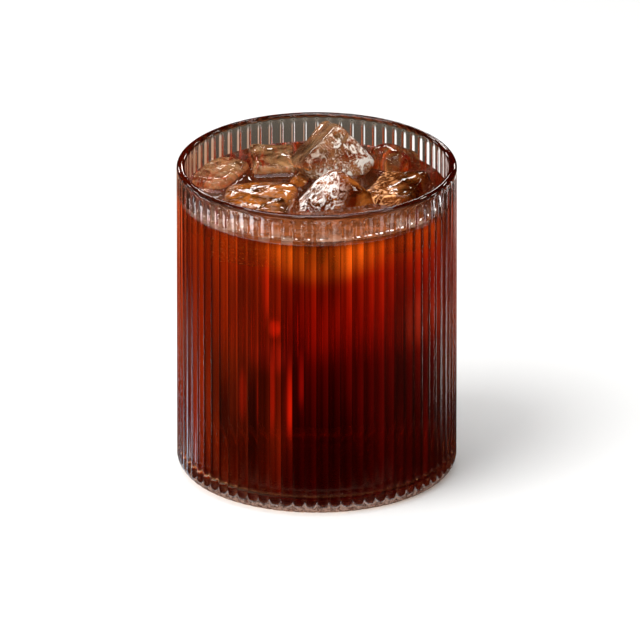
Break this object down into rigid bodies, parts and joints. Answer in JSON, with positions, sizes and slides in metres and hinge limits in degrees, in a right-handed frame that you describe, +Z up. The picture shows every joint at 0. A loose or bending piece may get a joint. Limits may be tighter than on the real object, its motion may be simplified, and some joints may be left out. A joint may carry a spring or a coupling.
{
  "type": "iced coffee in a glass",
  "caption": "Short reeded tumbler filled with dark iced coffee, with clear half-melted ice standing out of the drink and above the rim",
  "frame": {"origin": "centre of the foot, on the surface the glass stands on", "axes": "+Z up along the glass's axis, -Y towards the viewer of the picture, +X to the picture's right"},
  "size_m": [0.084, 0.084, 0.1025],
  "materials": {
    "glass": "clear and polished, reeded outside",
    "drink": "clear dark brown liquid, red-brown where thin",
    "ice": "wet, clear with frosty crackle inside"
  },
  "bodies": {
    "root": {"glass": "glass", "drink": "drink", "ice_tall": "ice", "ice_front": "ice", "ice_right": "ice", "ice_back_right": "ice", "ice_front_left": "ice", "ice_back_left": "ice", "ice_left": "ice", "ice_sliver": "ice"}
  },
  "joints": []
}
